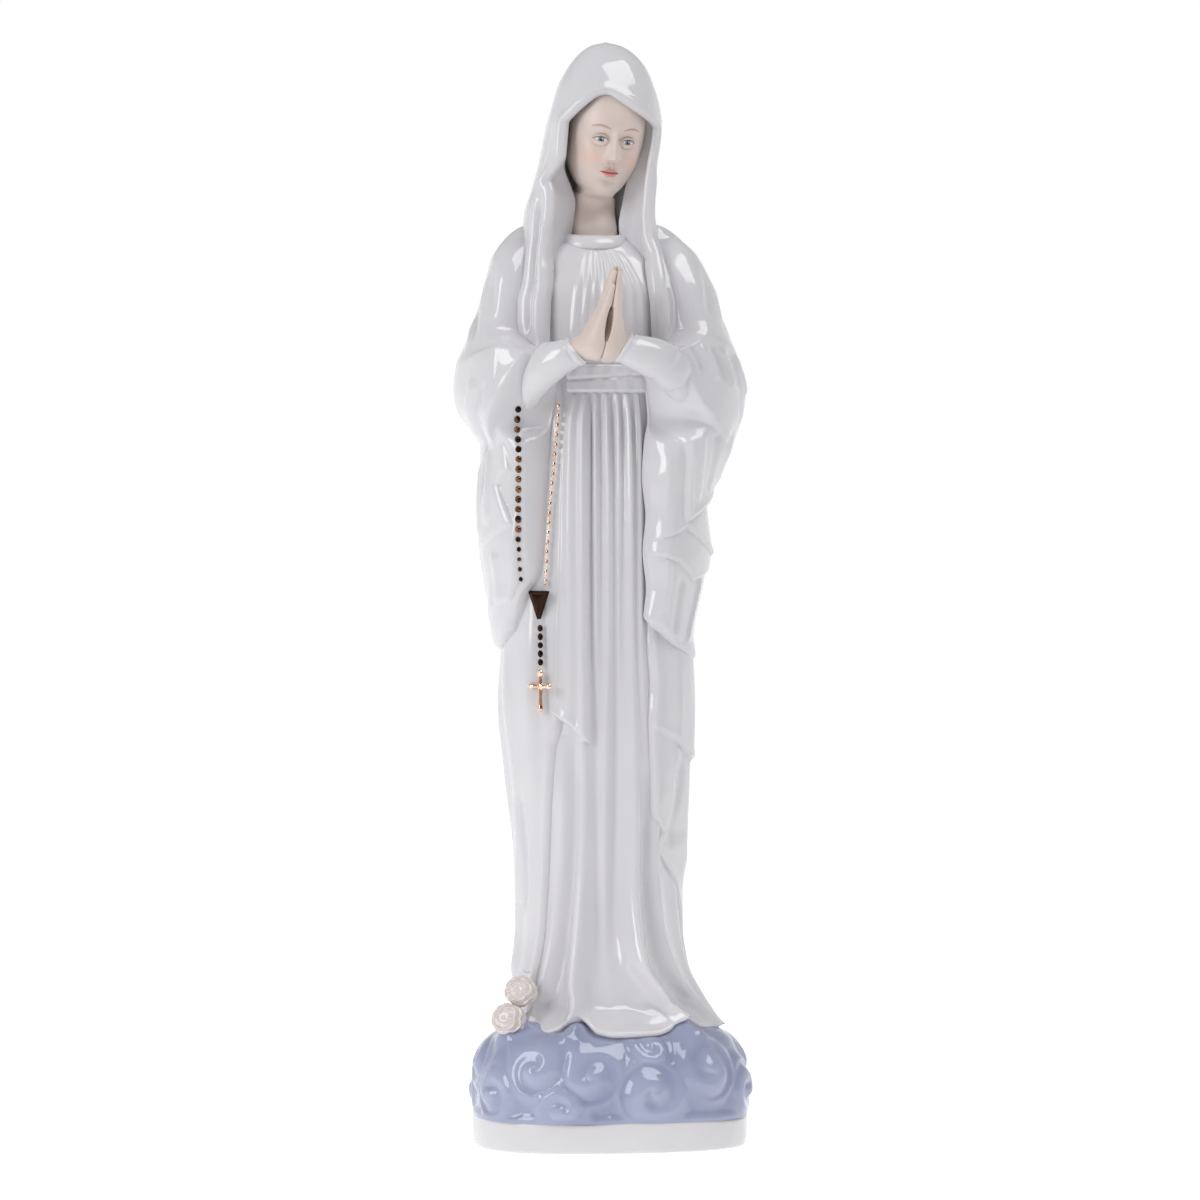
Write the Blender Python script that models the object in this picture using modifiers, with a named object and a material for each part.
"""A slip-cast porcelain figure of a praying Madonna on a cloud base.

The figure stands on its plinth with +Z up and the origin in the middle of the
underside.  It faces -Y, so its right side is on -X.  Most of it is lofted in
polar form: a layer of clothing is a stack of superellipse rings round a
standing axis, and each layer keeps a small clearance to the layer below it.
Angles are measured from the front, positive towards the figure's left (+X).
"""

import math

import bmesh
import bpy
import numpy as np
from mathutils import Matrix, Vector

# ---------------------------------------------------------------- dimensions
# Everything below is in millimetres and degrees; MM turns it into metres.
MM = 0.001

GAP = 0.35              # clearance between neighbouring castings
WALL = 4.0              # wall of the hollow castings
ROBE = 2.65             # thickness of the mantle
VEIL = 1.9              # thickness of the veil
ROUND_POWER = 2.3       # superellipse power of the clothing

PLINTH_HEIGHT = 9.0
PLINTH_FLOOR = 4.5
PLINTH_RIM = 4.0
VENT_RADIUS = 5.0
VENT_CENTRE = (2.0, 15.0)

BASE_CENTRE = (2.0, 0.0)
BASE_POWER = 2.6
CLOUD_BOTTOM = PLINTH_HEIGHT + GAP
CLOUD_TOP = 34.4
HEM = CLOUD_TOP + GAP
# Rings of the mound are (z, half-width, half-depth); the last is the hole on top.
CLOUD_RINGS = [
    (CLOUD_BOTTOM, 39.0, 29.0),
    (13.0, 39.6, 29.6),
    (18.0, 39.7, 29.7),
    (23.0, 39.2, 29.2),
    (27.5, 38.0, 28.2),
    (31.0, 36.0, 26.8),
    (33.4, 33.2, 24.4),
    (CLOUD_TOP, 29.4, 21.6),
    (CLOUD_TOP, 16.0, 12.0),
]
CLOUD_ROLLS = 7
CLOUD_ROLL_DEPTH = 0.9

# Rings are (z, right half-width, left half-width, front depth, back depth).
GOWN_RINGS = [
    (HEM, 25.0, 32.6, 28.6, 25.0),
    (42.0, 22.6, 28.0, 25.6, 23.0),
    (52.0, 21.2, 23.8, 22.6, 20.6),
    (62.0, 20.4, 22.2, 20.6, 19.0),
    (80.0, 20.8, 21.9, 18.6, 18.0),
    (108.0, 24.0, 23.0, 18.0, 18.0),
    (134.0, 26.4, 24.1, 18.0, 18.0),
    (160.0, 25.0, 23.0, 17.7, 18.0),
    (186.0, 23.4, 22.0, 17.2, 17.6),
    (205.0, 22.4, 21.5, 16.6, 17.0),
    (218.0, 21.6, 21.5, 16.0, 17.0),
    (232.0, 23.2, 23.2, 17.6, 18.0),
    (245.0, 24.6, 24.6, 17.6, 18.0),
    (254.0, 22.6, 22.6, 14.0, 15.0),
    (259.0, 16.6, 16.6, 10.6, 11.4),
    (262.4, 7.8, 7.8, 7.8, 7.8),
]

SLEEVE_RINGS = [
    (143.0, 30.8, 27.4, 23.6, 24.0),
    (150.0, 33.0, 28.4, 24.4, 24.6),
    (162.0, 33.8, 31.3, 25.4, 25.4),
    (178.0, 35.8, 31.6, 26.0, 26.0),
    (190.0, 36.0, 31.4, 26.4, 26.6),
    (202.0, 35.9, 37.4, 26.6, 27.4),
    (207.0, 38.2, 40.0, 27.4, 27.8),
    (212.6, 41.7, 42.2, 28.6, 28.2),
    (218.4, 42.7, 42.8, 29.0, 28.0),
    (225.6, 42.0, 41.3, 28.6, 27.4),
    (231.0, 39.6, 39.3, 28.0, 26.6),
    (243.0, 35.2, 34.8, 24.6, 25.4),
    (250.0, 32.9, 32.8, 22.4, 23.8),
    (257.5, 29.8, 29.6, 17.6, 19.4),
    (262.0, 25.6, 25.6, 13.0, 14.4),
    (264.4, 20.0, 20.0, 10.6, 11.4),
]

VEIL_RINGS = [
    (264.6, 20.6, 18.6, 15.0, 19.6),
    (270.0, 21.0, 16.9, 14.6, 19.6),
    (277.0, 19.6, 16.4, 14.4, 19.4),
    (284.0, 18.3, 16.2, 14.8, 19.0),
    (295.0, 16.8, 16.6, 14.8, 18.0),
    (301.0, 15.3, 15.8, 14.2, 16.8),
    (306.8, 13.6, 14.0, 12.8, 14.6),
    (311.5, 11.2, 12.0, 10.8, 11.8),
    (315.5, 8.2, 8.8, 7.8, 8.4),
    (318.2, 4.6, 4.8, 4.3, 4.6),
    (319.4, 0.5, 0.5, 0.5, 0.5),
]

AXIS = [
    (HEM, 0.0, 6.0),
    (246.0, 0.0, 6.0),
    (258.0, -1.2, 5.8),
    (264.0, -1.8, 5.4),
    (275.0, -0.8, 3.8),
    (300.0, 0.8, 1.8),
    (320.0, 1.0, 2.0),
]

# Edges of the layers are (z, angle on the right side, angle on the left side).
MANTLE_EDGES = [
    (46.0, -58.0, 66.0),
    (84.0, -50.0, 46.0),
    (114.0, -42.0, 40.0),
    (150.0, -40.0, 38.0),
    (205.0, -42.0, 56.0),
    (225.0, -52.0, 66.0),
    (262.0, -66.0, 66.0),
]

SLEEVE_EDGES = [
    (143.0, -80.0, 46.0),
    (150.0, -73.0, 35.0),
    (160.0, -63.0, 32.0),
    (167.0, -57.5, 31.0),
    (205.0, -57.0, 33.0),
    (211.6, -58.0, 46.0),
    (213.6, -61.5, 52.0),
    (220.0, -57.0, 46.5),
    (229.0, -50.0, 37.0),
    (231.4, -64.6, 54.0),
    (240.0, -66.0, 56.0),
    (250.0, -69.0, 60.0),
    (262.0, -78.0, 72.0),
    (264.4, -84.0, 78.0),
]
SLEEVE_BACK = 117.0     # both sleeves end here, behind the elbows
SLEEVE_BACK_EDGE = [(143.0, 104.0), (165.0, SLEEVE_BACK), (250.0, SLEEVE_BACK), (264.4, 110.0)]
SLEEVE_LEAST = 1.6      # thickness at the sleeve's back edge
SLEEVE_EASE = 0.35      # share of its width over which it thins towards that edge
NECK_HOLE = 6.6         # radius of the gown's opening at the neck
GOWN_NECK = 250.0       # from here up the inside of the gown lags behind the outside
GOWN_NECK_LAG = 0.26

# Heights that neighbouring layers share, so that their clearance is even.
SHOULDER_LEVELS = [231.4, 236.0, 242.0, 248.0, 254.0, 258.0, 260.4, 261.9]

FACE_OPENING = [
    (264.6, -50.0, 52.0),
    (270.0, -54.0, 60.0),
    (277.0, -60.0, 66.0),
    (284.0, -54.0, 66.0),
    (291.0, -51.0, 62.0),
    (297.0, -45.0, 46.0),
    (301.0, -23.0, 22.0),
    (303.4, -2.0, -2.0),
]
LAPPET_BOTTOM = 231.6
LAPPET_INNER = (-51.0, 43.0)
LAPPET_OUTER = (-63.0, 53.0)
VEIL_BACK = 120.5       # the back fall starts here, behind the sleeves
VEIL_HEM = 152.0
VEIL_CROWN = 306.0      # the shell turns over the head from here up
VEIL_TOP = 319.4
VEIL_TIP_RADIUS = 0.28  # of the inside, at the very top
# Steps across the lappet, the shoulder and the back, from the left to the right.
VEIL_STEPS = (2, 4, 12, 4, 2)

HEAD_AXIS = [
    (252.0, -1.2, 5.8),
    (264.0, -2.3, 5.2),
    (275.0, -3.2, 2.6),
    (310.0, -3.2, 0.8),
]
HEAD_TURN = 10.0
HEAD_ROLL = 7.0
HEAD_PIVOT = 268.0      # the neck turns and tips above this height
HEAD_POWER = 2.1
HEAD_RINGS = [
    (252.0, 5.9, 5.9, 5.8, 5.8),
    (262.0, 5.6, 5.6, 5.6, 5.6),
    (271.0, 5.6, 5.6, 5.8, 6.0),
    (274.0, 6.0, 6.0, 8.6, 7.0),
    (276.4, 6.8, 6.8, 11.6, 8.4),
    (280.0, 8.6, 8.6, 12.6, 9.8),
    (285.0, 10.0, 10.0, 13.0, 11.6),
    (291.0, 10.7, 10.7, 13.2, 13.0),
    (297.0, 10.8, 10.8, 12.6, 13.4),
    (302.0, 10.0, 10.0, 10.8, 12.4),
    (306.0, 8.2, 8.2, 9.4, 10.0),
    (309.4, 4.6, 4.6, 5.4, 5.8),
]

HAND_ROOT = (-5.2, -22.8, 226.4)
HAND_TIP = (-0.3, -26.4, 254.6)
PALM_CLEARANCE = 0.25   # from each palm to the plane between the hands
# A hand is a stack of (distance from the heel, thickness, front, back).
HAND_RINGS = [
    (0.0, 6.4, 3.6, 4.2),
    (4.0, 7.4, 4.8, 5.0),
    (9.0, 6.4, 5.0, 5.2),
    (14.5, 5.0, 4.8, 4.8),
    (20.0, 3.9, 4.1, 4.0),
    (25.0, 2.8, 3.0, 3.0),
    (28.8, 1.3, 1.3, 1.4),
]

FOREARM_RADIUS = 28.3   # middle of the raised sleeve, from the axis
FOREARM_DEPTH = 4.7     # half of its depth
ELBOW_CLEARANCE = 2.4   # in degrees, between the fitted sleeve and the wide one
# Each side: (wrist angle, wrist bottom and top, elbow bottom and top, low and high edge).
FOREARMS = {
    -1: (-27.6, (223.8, 232.2), (214.4, 229.0), (-60.0, -49.0)),
    1: (7.2, (225.6, 232.4), (214.8, 229.0), (51.0, 37.6)),
}

SASH_SPAN = (-36.0, 62.0)
SASH_HEIGHT = (217.4, 225.0)
SASH_THICKNESS = 1.5

COLLAR_RADIUS = 8.6
COLLAR_TUBE = 1.45
COLLAR_CENTRE = (-2.2, 5.4, 264.2)

BEAD_RADIUS = 1.05
CORD_RADIUS = 0.55
OUTER_STRAND = [(213.5, -61.2), (206.0, -62.0), (190.0, -62.2), (175.0, -62.2), (162.5, -61.4)]
INNER_STRAND = [(213.0, -44.5), (200.0, -47.0), (180.0, -49.0), (162.5, -50.0)]
OUTER_BEADS = 18
INNER_BEADS = 19
DROP_STRAND = [(150.2, -52.3), (138.6, -52.0)]
DROP_BEADS = 5
MEDAL_TOP = 160.4
MEDAL_HEIGHT = 8.6
MEDAL_HALF_WIDTH = 3.6
MEDAL_THICKNESS = 1.3
MEDAL_ANGLE = -51.5
CROSS_TOP = 137.2
CROSS_HEIGHT = 11.0
CROSS_SPAN = 7.0
CROSS_BAR = 1.5
CROSS_THICKNESS = 1.3
CROSS_ANGLE = -52.0

# name: (centre, half-sizes)
ROSES = {
    "rose_upper": ((-27.6, -10.4, 46.0), (4.6, 4.4, 3.2)),
    "rose_lower": ((-31.2, -12.6, 38.4), (5.2, 5.0, 3.9)),
}

# ------------------------------------------------------------------ materials
# name: (base colour, roughness, metallic)
MATERIALS = {
    "white_glaze": ((0.86, 0.87, 0.88), 0.12, 0.0),
    "blue_glaze": ((0.47, 0.52, 0.74), 0.14, 0.0),
    "flesh_bisque": ((0.86, 0.72, 0.66), 0.45, 0.0),
    "peach_glaze": ((0.84, 0.76, 0.72), 0.18, 0.0),
    "gold_lustre": ((0.72, 0.42, 0.20), 0.22, 1.0),
}


# -------------------------------------------------------------- scene helpers
def clear_scene():
    """Remove every object, and the materials that they leave unused."""
    for old in list(bpy.data.objects):
        bpy.data.objects.remove(old, do_unlink=True)


def new_collection(name):
    collection = bpy.data.collections.new(name)
    bpy.context.scene.collection.children.link(collection)
    return collection


def make_materials():
    made = {}
    for name, (colour, roughness, metallic) in MATERIALS.items():
        material = bpy.data.materials.new(name)
        material.use_nodes = True
        shader = material.node_tree.nodes["Principled BSDF"]
        shader.inputs["Base Color"].default_value = (*colour, 1.0)
        shader.inputs["Roughness"].default_value = roughness
        shader.inputs["Metallic"].default_value = metallic
        made[name] = material
    return made


def add_mesh(name, mesh_data, material, collection):
    """Turn a bmesh into a named, smooth object and free the bmesh."""
    bmesh.ops.recalc_face_normals(mesh_data, faces=mesh_data.faces)
    mesh = bpy.data.meshes.new(name)
    mesh_data.to_mesh(mesh)
    mesh_data.free()
    mesh.shade_smooth()
    mesh.set_sharp_from_angle(angle=math.radians(40))
    mesh.materials.append(material)
    made = bpy.data.objects.new(name, mesh)
    collection.objects.link(made)
    return made


# ------------------------------------------------------------- curve functions
def smooth_table(rows, z):
    """Read a table of (z, value, ...) rows on a smooth curve without overshoot."""
    table = np.array(rows, dtype=float)
    place = np.clip(z, table[0, 0], table[-1, 0])
    index = int(np.clip(np.searchsorted(table[:, 0], place) - 1, 0, len(table) - 2))
    step = np.diff(table[:, 0])
    slope = np.diff(table[:, 1:], axis=0) / step[:, None]
    tangent = np.zeros_like(table[:, 1:])
    tangent[0], tangent[-1] = slope[0], slope[-1]
    for row in range(1, len(table) - 1):
        before, after = slope[row - 1], slope[row]
        total = before + after
        safe = np.where(np.abs(total) < 1e-9, 1.0, total)
        tangent[row] = np.where(before * after > 0, 2 * before * after / safe, 0.0)
    span = step[index]
    t = (place - table[index, 0]) / span
    start, end = table[index, 1:], table[index + 1, 1:]
    return (
        (2 * t**3 - 3 * t**2 + 1) * start
        + (t**3 - 2 * t**2 + t) * span * tangent[index]
        + (3 * t**2 - 2 * t**3) * end
        + (t**3 - t**2) * span * tangent[index + 1]
    )


def line_table(rows, z):
    """Read a table of (z, value, ...) rows on straight runs."""
    table = np.array(rows, dtype=float)
    return [float(np.interp(z, table[:, 0], column)) for column in table[:, 1:].T]


def superellipse(angle, right, left, front, back, power=ROUND_POWER):
    """Radius of a four-sided superellipse at an angle from the front."""
    turn = math.radians(angle)
    across = abs(math.sin(turn)) / (left if math.sin(turn) > 0 else right)
    along = abs(math.cos(turn)) / (front if math.cos(turn) > 0 else back)
    return (across**power + along**power) ** (-1.0 / power)


def gown_radius(angle, z):
    return superellipse(angle, *smooth_table(GOWN_RINGS, z))


def mantle_radius(angle, z):
    return gown_radius(angle, z) + GAP + ROBE


def sleeve_radius(angle, z):
    return superellipse(angle, *smooth_table(SLEEVE_RINGS, z))


def veil_radius(angle, z):
    """The hood down to the shoulders, then the falls over the mantle."""
    if z >= VEIL_RINGS[0][0]:
        return superellipse(angle, *smooth_table(VEIL_RINGS, z))
    return mantle_radius(angle, z) + GAP + VEIL


def polar_point(angle, z, radius, centre=None):
    """A point in millimetres at an angle and radius from the standing axis."""
    x, y = centre if centre is not None else smooth_table(AXIS, z)
    turn = math.radians(angle)
    return (x + radius * math.sin(turn), y - radius * math.cos(turn), z)


# --------------------------------------------------------------- mesh builders
def masked_shell(outer, inner, cells, wrap, seam_row=None):
    """Close two matching grids of points into one shell.

    outer and inner are rows of points; cells says which squares of the grid
    exist; wrap joins the last column to the first.  Walls are added wherever a
    square borders on an empty place.  From seam_row up, the first and last
    columns lie on each other and are welded, so they get no wall.
    """
    rows, columns = len(outer), len(outer[0])
    mesh_data = bmesh.new()
    made = {}

    def vertex(side, row, column):
        key = (side, row, column % columns if wrap else column)
        if key not in made:
            point = (outer if side else inner)[key[1]][key[2]]
            made[key] = mesh_data.verts.new(Vector(point) * MM)
        return made[key]

    def face(*keys):
        corners = [vertex(*key) for key in keys]
        mesh_data.faces.new(corners)

    last = columns if wrap else columns - 1

    def exists(row, column):
        if not 0 <= row < rows - 1:
            return False
        if wrap:
            column %= columns
        elif not 0 <= column < last:
            return False
        return cells(row, column)

    for row in range(rows - 1):
        for column in range(last):
            if not exists(row, column):
                continue
            square = [(row, column), (row, column + 1), (row + 1, column + 1), (row + 1, column)]
            face(*[(1, *corner) for corner in square])
            face(*[(0, *corner) for corner in reversed(square)])
            beside = [(row - 1, column), (row, column + 1), (row + 1, column), (row, column - 1)]
            for side, neighbour in enumerate(beside):
                on_seam = seam_row is not None and row >= seam_row
                if on_seam and neighbour[1] in (-1, last):
                    continue
                if not exists(*neighbour):
                    a, b = square[side], square[(side + 1) % 4]
                    face((1, *b), (1, *a), (0, *a), (0, *b))
    bmesh.ops.remove_doubles(mesh_data, verts=mesh_data.verts, dist=1e-7)
    return mesh_data


def ring_stack(rings):
    """Close a stack of matching rings, with a flat face at each end."""
    mesh_data = bmesh.new()
    stack = [[mesh_data.verts.new(Vector(point) * MM) for point in ring] for ring in rings]
    count = len(stack[0])
    for lower, upper in zip(stack, stack[1:]):
        for index in range(count):
            after = (index + 1) % count
            mesh_data.faces.new((lower[index], lower[after], upper[after], upper[index]))
    mesh_data.faces.new(list(reversed(stack[0])))
    mesh_data.faces.new(stack[-1])
    return mesh_data


def oval_ring(centre, width, depth, z, count=40, power=BASE_POWER, ripple=None):
    ring = []
    for index in range(count):
        angle = 360.0 * index / count
        radius = superellipse(angle, width, width, depth, depth, power)
        if ripple is not None:
            radius += ripple(angle)
        ring.append(polar_point(angle, z, radius, centre))
    return ring


# ------------------------------------------------------------------- the base
def make_plinth(material, collection, cutters):
    """An oval foot band with a floor, recessed on top and vented below."""
    rings = [
        oval_ring(BASE_CENTRE, 38.0, 28.2, 0.0),
        oval_ring(BASE_CENTRE, 38.6, 28.8, 0.7),
        oval_ring(BASE_CENTRE, 39.6, 29.6, PLINTH_HEIGHT - 0.6),
        oval_ring(BASE_CENTRE, 39.2, 29.2, PLINTH_HEIGHT),
        oval_ring(BASE_CENTRE, 39.2 - PLINTH_RIM, 29.2 - PLINTH_RIM, PLINTH_HEIGHT),
        oval_ring(BASE_CENTRE, 38.8 - PLINTH_RIM, 28.8 - PLINTH_RIM, PLINTH_FLOOR),
    ]
    plinth = add_mesh("plinth", ring_stack(rings), material, collection)
    bpy.ops.mesh.primitive_cylinder_add(
        vertices=24, radius=VENT_RADIUS * MM, depth=4 * PLINTH_HEIGHT * MM,
        location=(VENT_CENTRE[0] * MM, VENT_CENTRE[1] * MM, 0.0),
    )
    cutter = bpy.context.object
    cutter.name = "vent_cutter"
    cutter.hide_render = True
    cutter.display_type = "WIRE"
    for home in list(cutter.users_collection):
        home.objects.unlink(cutter)
    cutters.objects.link(cutter)
    vent = plinth.modifiers.new("vent", "BOOLEAN")
    vent.operation = "DIFFERENCE"
    vent.object = cutter
    return plinth


def cloud_ripple(z):
    """Rolls of cloud round the mound, strongest at mid height."""
    swell = math.sin(math.pi * (z - CLOUD_BOTTOM) / (CLOUD_TOP - CLOUD_BOTTOM))

    def ripple(angle):
        turn = math.radians(angle)
        lean = 0.21 * z
        return CLOUD_ROLL_DEPTH * max(swell, 0.0) * math.sin(CLOUD_ROLLS * turn + lean)

    return ripple


def make_cloud_base(material, collection):
    """A hollow mound, open below and holed under the gown."""
    outer, inner = [], []
    for z, width, depth in CLOUD_RINGS:
        ripple = cloud_ripple(z)
        low = min(z, CLOUD_TOP - WALL)
        cut = 0.0 if (z, width, depth) == CLOUD_RINGS[-1] else WALL
        outer.append(oval_ring(BASE_CENTRE, width, depth, z, 36, ripple=ripple))
        inner.append(oval_ring(BASE_CENTRE, width - cut, depth - cut, low, 36))
    for row in range(len(inner)):
        if row > 0 and inner[row][0][2] <= inner[row - 1][0][2]:
            height = inner[row - 1][0][2] + 0.02
            inner[row] = [(x, y, height) for x, y, _ in inner[row]]
    shell = masked_shell(outer, inner, lambda row, column: True, True)
    return add_mesh("cloud_base", shell, material, collection)


# ---------------------------------------------------------------- the clothes
def levels(low, high, count):
    return [float(z) for z in np.linspace(low, high, count)]


def make_gown(material, collection):
    """The hollow dress, open at the hem and at the neck."""
    heights = [HEM, 38.5, 44.0, 54.0, 64.0, 74.0] + levels(84.0, 206.0, 7)
    heights += [214.0, 222.0] + SHOULDER_LEVELS[:-1] + [262.4]
    columns = 30
    outer, inner = [], []
    for z in heights:
        low = z - GOWN_NECK_LAG * max(z - GOWN_NECK, 0.0)
        outer_row, inner_row = [], []
        for index in range(columns):
            angle = 360.0 * index / columns
            radius = gown_radius(angle, z)
            outer_row.append(polar_point(angle, z, radius))
            inner_row.append(polar_point(angle, low, max(radius - WALL, NECK_HOLE)))
        outer.append(outer_row)
        inner.append(inner_row)
    shell = masked_shell(outer, inner, lambda row, column: True, True)
    return add_mesh("gown", shell, material, collection)


def layer_shell(heights, columns, edges, outside, inside):
    """A layer between two edge angles, through the back of the figure."""
    outer, inner = [], []
    for z in heights:
        start, stop = edges(z)
        angles = np.linspace(start, stop, columns)
        outer.append([polar_point(a, z, outside(a, z, k / (columns - 1)))
                      for k, a in enumerate(angles)])
        inner.append([polar_point(a, z, inside(a, z)) for a in angles])
    return masked_shell(outer, inner, lambda row, column: True, False)


def make_mantle(material, collection):
    """The outer robe: open in front, from the neck to the hem."""
    heights = [46.0, 54.0, 64.0, 74.0] + levels(84.0, 206.0, 7)
    heights += [214.0, 222.0] + SHOULDER_LEVELS

    def edges(z):
        right, left = line_table(MANTLE_EDGES, z)
        return left, 360.0 + right

    def outside(angle, z, share):
        return mantle_radius(angle, z)

    def inside(angle, z):
        return gown_radius(angle, z) + GAP

    shell = layer_shell(heights, 24, edges, outside, inside)
    return add_mesh("mantle", shell, material, collection)


def make_sleeve(side, material, collection):
    """Shoulder, upper arm and hanging sleeve; side is -1 right and +1 left."""
    heights = [143.0, 146.0, 150.0, 160.0, 167.0, 180.0, 194.0, 205.0,
               211.6, 213.6, 217.0, 220.0, 224.6, 229.0] + SHOULDER_LEVELS + [264.4]
    column = 1 if side < 0 else 2

    def edges(z):
        front = line_table([(row[0], row[column]) for row in SLEEVE_EDGES], z)[0]
        back = side * line_table(SLEEVE_BACK_EDGE, z)[0]
        return front, back

    def inside(angle, z):
        return mantle_radius(angle, min(z, 261.9)) + GAP

    def outside(angle, z, share):
        thinnest = inside(angle, z) + SLEEVE_LEAST
        full = max(sleeve_radius(angle, z), thinnest)
        ease = min(1.0, (1.0 - share) / SLEEVE_EASE)
        ease = ease * ease * (3.0 - 2.0 * ease)
        return thinnest + (full - thinnest) * ease

    name = "right_wide_sleeve" if side < 0 else "left_wide_sleeve"
    shell = layer_shell(heights, 11, edges, outside, inside)
    return add_mesh(name, shell, material, collection)


def make_forearm(side, material, collection):
    """The fitted sleeve round a raised forearm, from the wide sleeve to the wrist."""
    wrist, (wrist_low, wrist_high), (elbow_low, elbow_high), (low_edge, high_edge) = FOREARMS[side]
    ring_count, ring_points = 8, 14
    rings = []
    for share in np.linspace(0.0, 1.0, ring_count):
        low = elbow_low + (wrist_low - elbow_low) * share
        high = elbow_high + (wrist_high - elbow_high) * share
        middle = 0.5 * (low + high)
        half = 0.5 * (high - low)
        ring = []
        for index in range(ring_points):
            turn = 2 * math.pi * index / ring_points
            z = middle + half * math.sin(turn)
            radius = FOREARM_RADIUS + FOREARM_DEPTH * math.cos(turn)
            climb = (z - elbow_low) / (elbow_high - elbow_low)
            rim = low_edge + (high_edge - low_edge) * min(max(climb, 0.0), 1.0)
            rim -= side * ELBOW_CLEARANCE
            angle = rim + (wrist - rim) * share
            ring.append(polar_point(angle, z, radius))
        rings.append(ring)
    name = "right_forearm_sleeve" if side < 0 else "left_forearm_sleeve"
    return add_mesh(name, ring_stack(rings), material, collection)


def make_sash(material, collection):
    """The flat band tied at the waist, over the gown."""
    low, high = SASH_HEIGHT
    heights = [low, low + 0.6, 0.5 * (low + high), high - 0.6, high]
    swell = [0.7, 1.0, 1.0, 1.0, 0.7]
    lift = dict(zip(heights, swell))

    def edges(z):
        return SASH_SPAN

    def outside(angle, z, share):
        return gown_radius(angle, z) + GAP + SASH_THICKNESS * lift[z]

    def inside(angle, z):
        return gown_radius(angle, z) + GAP

    shell = layer_shell(heights, 15, edges, outside, inside)
    return add_mesh("sash", shell, material, collection)


def make_collar(material, collection):
    """A rolled band round the neck opening."""
    bpy.ops.mesh.primitive_torus_add(
        major_segments=28, minor_segments=8,
        major_radius=COLLAR_RADIUS * MM, minor_radius=COLLAR_TUBE * MM,
        location=Vector(COLLAR_CENTRE) * MM,
    )
    collar = bpy.context.object
    collar.name = "collar"
    collar.data.materials.append(material)
    collar.data.shade_smooth()
    for home in list(collar.users_collection):
        home.objects.unlink(collar)
    collection.objects.link(collar)
    return collar


# ---------------------------------------------------------- the head and veil
def make_head(material, collection):
    """Face and neck as one casting, turned and tipped a little to the left."""
    roll = Matrix.Rotation(math.radians(HEAD_ROLL), 3, "Y")
    turn = Matrix.Rotation(math.radians(HEAD_TURN), 3, "Z")
    pivot = Vector((*smooth_table(HEAD_AXIS, HEAD_PIVOT), HEAD_PIVOT))
    rings = []
    for z in [252.0, 262.0, 268.0, 271.0, 273.0, 274.6, 276.4, 279.0, 282.0, 286.0,
              290.0, 294.0, 298.0, 301.0, 304.0, 306.4, 308.2, 309.4]:
        blend = min(max((z - HEAD_PIVOT) / 6.0, 0.0), 1.0)
        sizes = smooth_table(HEAD_RINGS, z)
        centre = smooth_table(HEAD_AXIS, z)
        ring = []
        for index in range(20):
            angle = 18.0 * index
            radius = superellipse(angle, *sizes, HEAD_POWER)
            upright = Vector(polar_point(angle, z, radius, centre))
            tipped = pivot + roll @ (turn @ (upright - pivot))
            ring.append(upright.lerp(tipped, blend))
        rings.append(ring)
    return add_mesh("head", ring_stack(rings), material, collection)


def veil_columns(z):
    """Angles of the veil's columns: lappet, shoulder, back, shoulder, lappet."""
    if z >= FACE_OPENING[0][0]:
        right, left = line_table(FACE_OPENING, z)
        right_outer = min(LAPPET_OUTER[0], right - 8.0)
        left_outer = max(LAPPET_OUTER[1], left + 8.0)
    else:
        right, left = LAPPET_INNER
        right_outer, left_outer = LAPPET_OUTER
    bounds = [left, left_outer, VEIL_BACK, 360.0 - VEIL_BACK, 360.0 + right_outer, 360.0 + right]
    angles = [left]
    for start, stop, steps in zip(bounds, bounds[1:], VEIL_STEPS):
        angles += list(np.linspace(start, stop, steps + 1)[1:])
    return angles


def make_veil(material, collection):
    """Hood, two lappets and back fall as one shell round the head."""
    falls = levels(VEIL_HEM, 222.0, 5) + [LAPPET_BOTTOM] + SHOULDER_LEVELS[1:]
    hood = [264.6, 268.0, 272.0, 277.0, 284.0, 290.0, 295.0, 299.0,
            301.6, 303.4, 307.0, 311.0, 314.5, 317.2, 319.4]
    heights = falls + hood
    first_lappet_row = heights.index(LAPPET_BOTTOM)
    first_hood_row = heights.index(264.6)
    closed_row = heights.index(FACE_OPENING[-1][0])
    outer, inner = [], []
    for row, z in enumerate(heights):
        angles = veil_columns(z)
        if row >= closed_row:
            angles = np.linspace(angles[0], angles[0] + 360.0, len(angles))
        outer_row, inner_row = [], []
        drop = 0.9 * VEIL * max(0.0, (z - VEIL_CROWN) / (VEIL_TOP - VEIL_CROWN))
        for angle in angles:
            radius = veil_radius(angle, z)
            thin = max(radius - VEIL, VEIL_TIP_RADIUS)
            outer_row.append(polar_point(angle, z, radius))
            inner_row.append(polar_point(angle, z - drop, thin))
        outer.append(outer_row)
        inner.append(inner_row)
    back_start = sum(VEIL_STEPS[:2])
    back_stop = sum(VEIL_STEPS[:3])
    right_lappet = sum(VEIL_STEPS[:4])

    def cells(row, column):
        if row >= first_hood_row or back_start <= column < back_stop:
            return True
        in_lappet = column < VEIL_STEPS[0] or column >= right_lappet
        return in_lappet and row >= first_lappet_row

    shell = masked_shell(outer, inner, cells, False, closed_row)
    return add_mesh("veil", shell, material, collection)


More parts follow.
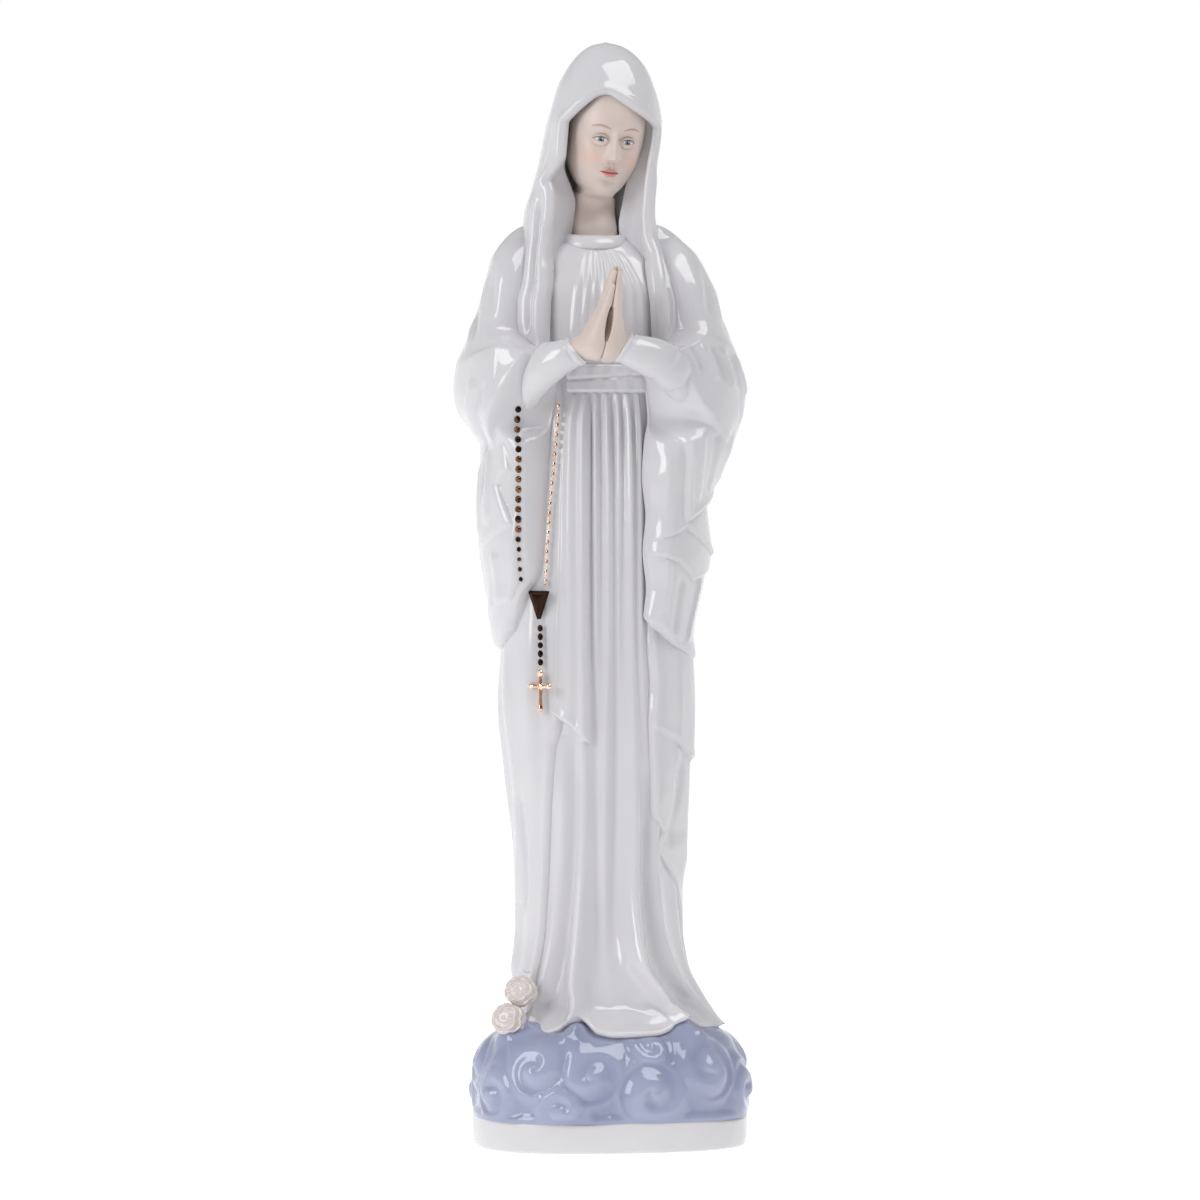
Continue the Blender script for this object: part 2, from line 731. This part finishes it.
# ------------------------------------------------------------------ the hands
def make_hand(side, material, collection):
    """A flat-palmed hand with its fingers together, leaning with the other."""
    root, tip = Vector(HAND_ROOT), Vector(HAND_TIP)
    up = (tip - root).normalized()
    out = Vector((side, 0.0, 0.0))
    out = (out - up * out.dot(up)).normalized()
    front = Vector((0.0, -1.0, 0.0))
    front = (front - up * front.dot(up)).normalized()
    rings = []
    for along, thickness, ahead, behind in HAND_RINGS:
        ring = []
        centre = root + up * along + out * PALM_CLEARANCE
        for turn in np.linspace(0.0, math.pi, 12):
            reach = math.cos(turn)
            width = ahead if reach > 0 else behind
            bulge = thickness * math.sin(turn) ** 0.7
            ring.append(centre + front * (width * reach) + out * bulge)
        rings.append(ring)
    name = "right_hand" if side < 0 else "left_hand"
    return add_mesh(name, ring_stack(rings), material, collection)


# ------------------------------------------------------------------ the roses
def make_rose(name, centre, size, material, collection):
    """A small glazed flower: a sphere pushed into petal lobes."""
    bpy.ops.mesh.primitive_uv_sphere_add(segments=20, ring_count=10, radius=1.0)
    rose = bpy.context.object
    rose.name = name
    for vertex in rose.data.vertices:
        x, y, z = vertex.co
        turn = math.atan2(x, -y)
        lobe = 1.0 + 0.08 * math.cos(5 * turn) * (1.0 - z * z)
        vertex.co = Vector((x * lobe * size[0], y * lobe * size[1], z * size[2]))
        vertex.co = (vertex.co + Vector(centre)) * MM
    rose.data.materials.append(material)
    rose.data.shade_smooth()
    for home in list(rose.users_collection):
        home.objects.unlink(rose)
    collection.objects.link(rose)
    return rose


# ----------------------------------------------------------------- the rosary
def strand_points(route, surface, count):
    """Beads along a route on a surface, as (point, radius) pairs."""
    route = sorted(route)
    low, high = route[0][0], route[-1][0]
    step = (high - low) / (count - 1)
    found = []
    for index in range(count):
        for shift, radius in ((-0.25, BEAD_RADIUS), (0.25, BEAD_RADIUS), (0.5, CORD_RADIUS)):
            z = high - (index + shift) * step
            if index == count - 1 and shift > 0.4:
                continue
            angle = float(smooth_table(route, z)[0])
            stand_off = surface(angle, z) + GAP + 0.2 + BEAD_RADIUS
            found.append((polar_point(angle, z, stand_off), radius))
    return found


def make_strand(name, points, material, collection):
    """A beaded cord: one thin tube that swells at every bead."""
    curve = bpy.data.curves.new(name, "CURVE")
    curve.dimensions = "3D"
    curve.bevel_depth = MM
    curve.bevel_resolution = 1
    curve.use_fill_caps = True
    line = curve.splines.new("POLY")
    line.points.add(len(points) - 1)
    for point, (place, radius) in zip(line.points, points):
        point.co = (*(Vector(place) * MM), 1.0)
        point.radius = radius
    curve.materials.append(material)
    made = bpy.data.objects.new(name, curve)
    collection.objects.link(made)
    return made


def flat_trim(name, outline, angle, top, surface, thickness, material, collection):
    """A flat outline (across, down) laid on a surface and given a thickness."""
    centre_z = top - 0.5 * max(down for _, down in outline)
    turn = math.radians(angle)
    across = Vector((math.cos(turn), math.sin(turn), 0.0))
    outward = Vector((math.sin(turn), -math.cos(turn), 0.0))
    stand = surface(angle, centre_z) + GAP + 0.5
    middle = Vector(polar_point(angle, centre_z, stand))
    rings = []
    for depth in (0.0, thickness):
        ring = []
        for sideways, down in outline:
            place = middle + across * sideways + outward * depth
            place.z = top - down
            ring.append(place)
        rings.append(ring)
    made = add_mesh(name, ring_stack(rings), material, collection)
    edge = made.modifiers.new("softened", "BEVEL")
    edge.width = 0.25 * MM
    edge.segments = 2
    return made


def make_rosary(material, collection):
    """Two beaded strands, a medal, a short drop and a cross."""
    outer = strand_points(OUTER_STRAND, sleeve_radius, OUTER_BEADS)
    inner = strand_points(INNER_STRAND, mantle_radius, INNER_BEADS)
    drop = strand_points(DROP_STRAND, mantle_radius, DROP_BEADS)
    make_strand("rosary_outer_strand", outer, material, collection)
    make_strand("rosary_inner_strand", inner, material, collection)
    make_strand("rosary_drop_strand", drop, material, collection)
    wide, tall = MEDAL_HALF_WIDTH, MEDAL_HEIGHT
    triangle = [(-wide, 0.0), (wide, 0.4), (0.55 * wide, 0.55 * tall), (0.3, tall),
                (-0.3, tall), (-0.7 * wide, 0.5 * tall)]
    flat_trim("rosary_medal", triangle, MEDAL_ANGLE, MEDAL_TOP, mantle_radius,
              MEDAL_THICKNESS, material, collection)
    half, arm, beam = 0.5 * CROSS_BAR, 0.5 * CROSS_SPAN, 0.42 * CROSS_HEIGHT
    cross = [(-half, 0.0), (half, 0.0), (half, beam - half), (arm, beam - half),
             (arm, beam + half), (half, beam + half), (half, CROSS_HEIGHT),
             (-half, CROSS_HEIGHT), (-half, beam + half), (-arm, beam + half),
             (-arm, beam - half), (-half, beam - half)]
    flat_trim("rosary_cross", cross, CROSS_ANGLE, CROSS_TOP, mantle_radius,
              CROSS_THICKNESS, material, collection)


def main():
    clear_scene()
    figure = new_collection("praying_madonna")
    cutters = new_collection("cutters")
    glaze = make_materials()
    white, flesh = glaze["white_glaze"], glaze["flesh_bisque"]
    make_plinth(white, figure, cutters)
    make_cloud_base(glaze["blue_glaze"], figure)
    make_gown(white, figure)
    make_mantle(white, figure)
    for side in (-1, 1):
        make_sleeve(side, white, figure)
        make_forearm(side, white, figure)
        make_hand(side, flesh, figure)
    make_sash(white, figure)
    make_collar(white, figure)
    make_head(flesh, figure)
    make_veil(white, figure)
    for name, (centre, size) in ROSES.items():
        make_rose(name, centre, size, glaze["peach_glaze"], figure)
    make_rosary(glaze["gold_lustre"], figure)


main()
